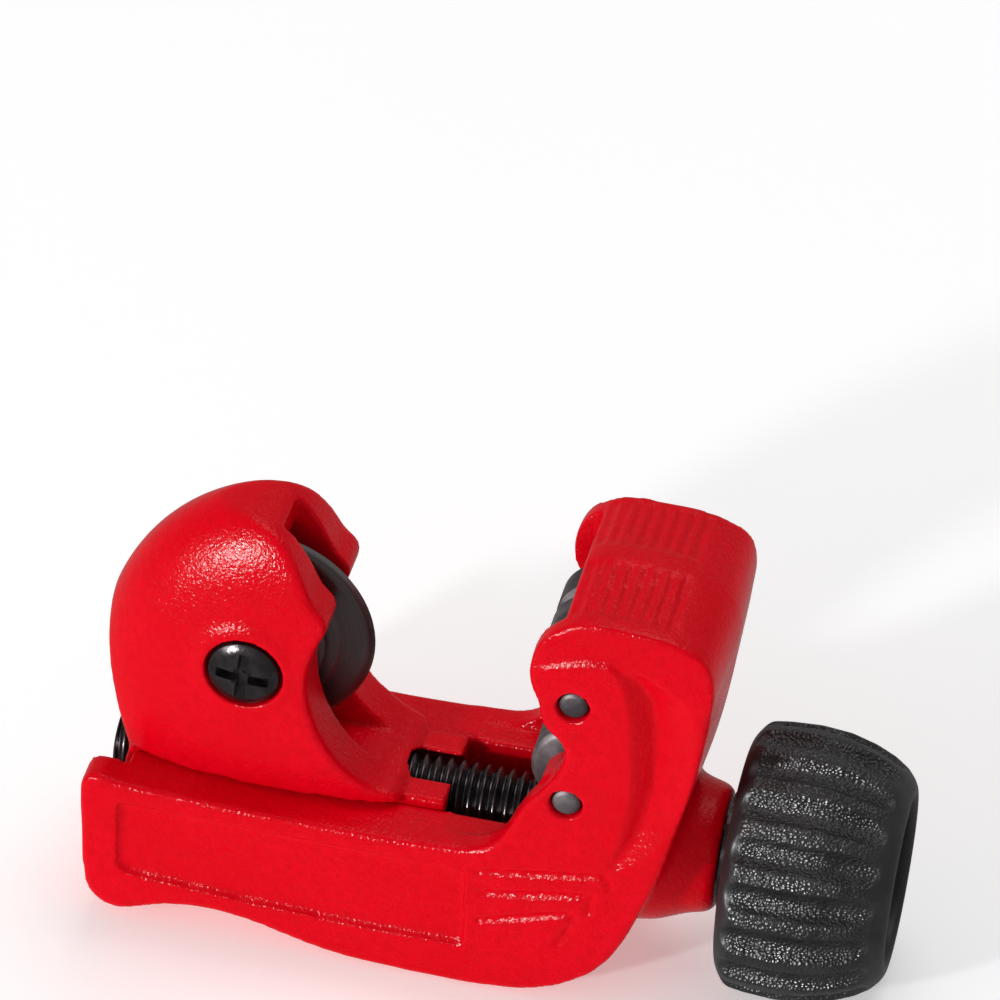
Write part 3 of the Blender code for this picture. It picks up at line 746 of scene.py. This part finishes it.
def red_enamel():
    """Thick gloss enamel on a sand casting: orange peel over a lumpy skin."""
    look = Look("red_enamel", Specular_IOR_Level=0.10)
    broad = look.noise(90, 3)
    colour = look.mix(broad.band(0.35, 0.65), (0.76, 0.0, 0.008), (0.80, 0.0, 0.011))
    fine = look.noise(900, 2)
    look.feed("Base Color", look.mix(fine.band(0.3, 0.8), colour, (0.72, 0.0, 0.008)))
    look.feed("Roughness", 0.12 + 0.12 * look.noise(700, 2))
    peel = look.noise(2300, 2, 0.6)
    lumps = look.noise(320, 2, 0.5)
    skin = look.bump(lumps, 0.06)
    look.feed("Normal", look.bump(peel, 0.11, under=skin))
    return look


def black_oxide(name, tone, polish):
    """Blackened steel, blotched from dark to less dark."""
    look = Look(name, Metallic=0.8)
    blotch = look.noise(400, 4)
    dark = [shade * tone for shade in (0.030, 0.026, 0.028)]
    light = [shade * tone for shade in (0.070, 0.061, 0.064)]
    look.feed("Base Color", look.mix(blotch.band(0.35, 0.7), dark, light))
    look.feed("Roughness", polish + 0.25 * look.noise(900, 3))
    look.feed("Normal", look.bump(look.noise(2500, 3), 0.02))
    return look


def wheel_steel():
    """Dark tool steel with faint turning rings and a bright ground edge."""
    look = Look("wheel_steel", Metallic=0.9)
    x, _, z = look.axes()
    dx, dz = x - WHEEL_CENTRE.x * MM, z - WHEEL_CENTRE.z * MM
    radius = (dx * dx + dz * dz).root()
    sockets = {"W": radius * 4000.0, "Scale": 1.0, "Detail": 2.0}
    rings = look.node("ShaderNodeTexNoise", {"noise_dimensions": "1D"}, sockets)
    edge = radius.band(13.1 * MM, 13.35 * MM)
    dark = look.mix(rings.band(0.2, 0.8), (0.095, 0.080, 0.083), (0.115, 0.097, 0.101))
    look.feed("Base Color", look.mix(edge, dark, (0.22, 0.21, 0.21)))
    look.feed("Roughness", 0.30 + 0.18 * look.noise(600, 3) - 0.1 * edge)
    look.feed("Normal", look.bump(rings, 0.003))
    return look


def grip_coat():
    """Hard black plastic with a coarse sparkling grain between smooth rims."""
    look = Look("grip_plastic", Specular_IOR_Level=0.4)
    x, _, _ = look.axes()
    past_inner_rim = x.band((GRIP_START + 1.4) * MM, (GRIP_START + 2.2) * MM)
    on_outer_rim = x.band((GRIP_START + 17.2) * MM, (GRIP_START + 18.6) * MM)
    grained = past_inner_rim * (1 - on_outer_rim)
    grain = look.cells(2600)
    fine = look.noise(3800, 2)
    clouds = look.noise(300, 3).band(0.3, 0.7)
    look.feed("Base Color", look.mix(clouds, (0.014, 0.0133, 0.0147), (0.024, 0.023, 0.025)))
    patches = look.noise(450, 3).band(0.35, 0.65)
    look.feed("Roughness", 0.46 - 0.16 * grained * patches)
    look.feed("Normal", look.bump(grain * grained, 0.17, under=look.bump(fine, 0.02)))
    return look


def zinc_plate():
    look = Look("zinc_plate", Metallic=1.0)
    clouds = look.noise(500, 3).band(0.3, 0.7)
    look.feed("Base Color", look.mix(clouds, (0.42, 0.41, 0.38), (0.60, 0.58, 0.55)))
    look.feed("Roughness", 0.25 + 0.2 * look.noise(1200, 2))
    return look


def pale_floor():
    look = Look("pale_floor", Roughness=0.9, Emission_Color=(1, 1, 1, 1), Emission_Strength=0.3)
    clouds = look.noise(3, 2).band(0.3, 0.7)
    look.feed("Base Color", look.mix(clouds, (0.93, 0.93, 0.93), (0.95, 0.95, 0.95)))
    return look


# Light and camera


def softbox(name, place, size, watts):
    """A square lamp that faces the tool."""
    pick_none()
    bpy.ops.object.light_add(type="AREA", location=place)
    lamp = bpy.context.object
    lamp.name = name
    lamp.data.shape = "SQUARE"
    lamp.data.size = size
    lamp.data.energy = watts
    lamp.rotation_euler = (Vector(TOOL_MIDDLE) - Vector(place)).to_track_quat("-Z", "Y").to_euler()
    return lamp


def make_stage():
    """Pale floor, white surroundings, and lamps. The sheen lamp only makes highlights."""
    pick_none()
    bpy.ops.mesh.primitive_grid_add(
        x_subdivisions=8, y_subdivisions=8, size=6, location=(0, 0, -0.0002)
    )
    floor = settle(bpy.context.object, "floor")
    pale_floor().wear(floor)
    floor.visible_glossy = False
    world = bpy.data.worlds.new("studio")
    bpy.context.scene.world = world
    world.use_nodes = True
    background = world.node_tree.nodes["Background"]
    background.inputs["Color"].default_value = (1, 1, 1, 1)
    background.inputs["Strength"].default_value = 0.32
    softbox("key", KEY_PLACE, 0.06, 2.65)
    sheen = softbox("sheen", KEY_PLACE, 0.08, 17)
    sheen.visible_diffuse = False
    softbox("front", (-0.85, -0.75, 0.45), 0.45, 1.8)
    softbox("top", (0.1, 0.35, 1.0), 0.6, 3.6)
    view = bpy.context.scene.view_settings
    view.view_transform = "Standard"
    view.look = "None"
    view.exposure = 0.0


def make_camera():
    azimuth, elevation, roll = math.radians(10.5), math.radians(36.2), math.radians(3.7)
    level = Vector((math.sin(azimuth), -math.cos(azimuth), 0))
    back = level * math.cos(elevation) + Vector((0, 0, math.sin(elevation)))
    right = Vector((math.cos(azimuth), math.sin(azimuth), 0))
    up = back.cross(right)
    turned_right = right * math.cos(roll) + up * math.sin(roll)
    turned_up = up * math.cos(roll) - right * math.sin(roll)
    pick_none()
    bpy.ops.object.camera_add()
    camera = bpy.context.object
    camera.name = "camera"
    camera.data.lens = 212.4
    camera.data.sensor_width = 36
    camera.data.clip_start = 0.01
    place = Vector((96.505, -534.847, 459.331)) * MM
    facing = Matrix((turned_right, turned_up, back)).transposed()
    camera.matrix_world = Matrix.Translation(place) @ facing.to_4x4()
    bpy.context.scene.camera = camera


def carry(piece, body, *nodes):
    """Let a new piece ride on a body and stand for the nodes it replaces."""
    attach(piece, body)
    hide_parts(*nodes)


def main():
    make_camera()
    make_stage()
    paint, zinc = red_enamel(), zinc_plate()
    oxide = black_oxide("black_oxide", 1.0, 0.12)
    worn = black_oxide("worn_oxide", 2.0, 0.45)
    polished = black_oxide("polished_oxide", 1.0, 0.08)

    casting = make_frame_casting()
    carry(casting, "frame", "frame")
    hood = make_hood_casting()
    carry(hood, "jaw", "slide")
    paint.wear(casting, hood)

    screw = make_feed_screw()
    carry(screw, "spindle", "spindle")
    grip = make_grip()
    carry(grip, "spindle", "knob")
    grip_coat().wear(grip)
    wheel = make_cutter_wheel()
    carry(wheel, "wheel", "cutter_wheel")
    wheel_steel().wear(wheel)
    axle_screw = make_wheel_screw()
    carry(axle_screw, "jaw", "wheel_screw")
    oxide.wear(screw)
    polished.wear(axle_screw)
    for name, centre in zip(("upper_roller", "lower_roller"), ROLLER_CENTRES):
        roller = make_roller(name, centre)
        carry(roller, name, name)
        worn.wear(roller)
    for name in ("roller_pin_upper", "roller_pin_lower"):
        pin = make_pin(name)
        carry(pin, "frame", name)
        worn.wear(pin)
    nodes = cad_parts
    for name in ("wheel_screw_washer", "knob_screw", "retaining_ring", "outer_thrust_washer"):
        oxide.wear(nodes[name])
    for name in ("wheel_bush", "knob_washer", "inner_thrust_washer"):
        zinc.wear(nodes[name])


main()
pick_none()
